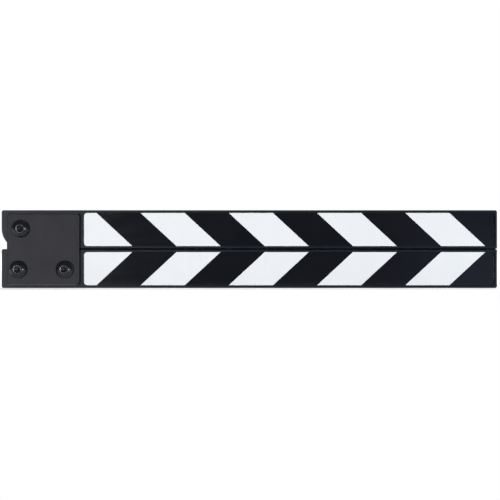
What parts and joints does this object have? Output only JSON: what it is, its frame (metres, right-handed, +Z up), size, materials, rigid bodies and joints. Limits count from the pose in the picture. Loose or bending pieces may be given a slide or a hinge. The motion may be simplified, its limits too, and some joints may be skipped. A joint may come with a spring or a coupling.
{
  "type": "clapper sticks",
  "caption": "Pair of film clapper sticks with black and white chevron stripes, the upper one hinged on a screw between two square cover plates.",
  "frame": {"origin": "middle of the lower stick's bottom edge, where it seats on a slate board, in the sticks' middle plane", "axes": "+X along the closed sticks, from the hinge to the free end; -Y out of the striped front faces; +Z up, from the lower stick to the upper stick"},
  "size_m": [0.267, 0.025, 0.0419],
  "materials": {
    "stick_black": "satin",
    "panel_black": "gloss",
    "stripe_white": "gloss",
    "plate_grey": "matte",
    "screw_black": "satin",
    "bright_steel": "satin",
    "brass": "satin",
    "nylon": "satin",
    "nickel": "polished"
  },
  "bodies": {
    "fixed_assembly": {"lower_stick": "stick_black", "lower_stripe_panel": "panel_black", "lower_white_stripe_1": "stripe_white", "lower_white_stripe_2": "stripe_white", "lower_white_stripe_3": "stripe_white", "lower_white_stripe_4": "stripe_white", "lower_white_stripe_5": "stripe_white", "front_hinge_plate": "plate_grey", "rear_hinge_plate": "plate_grey", "pivot_screw": "screw_black", "outer_fixing_screw": "screw_black", "inner_fixing_screw": "screw_black", "pivot_washer": "bright_steel", "outer_fixing_washer": "bright_steel", "inner_fixing_washer": "bright_steel", "pivot_lock_nut": "bright_steel", "outer_fixing_nut": "bright_steel", "inner_fixing_nut": "bright_steel", "pivot_bush": "brass", "lower_magnet": "nickel"},
    "swinging_assembly": {"upper_stick": "stick_black", "upper_stripe_panel": "panel_black", "upper_white_stripe_1": "stripe_white", "upper_white_stripe_2": "stripe_white", "upper_white_stripe_3": "stripe_white", "upper_white_stripe_4": "stripe_white", "upper_white_stripe_5": "stripe_white", "front_friction_washer": "nylon", "rear_friction_washer": "nylon", "upper_magnet": "nickel"}
  },
  "joints": [
    {"name": "clapper_hinge", "type": "hinge", "parent": "fixed_assembly", "child": "swinging_assembly", "pos_m": [-0.1227, 0, 0.0319], "axis": [0, -1, 0], "range_deg": [0, 90]}
  ]
}
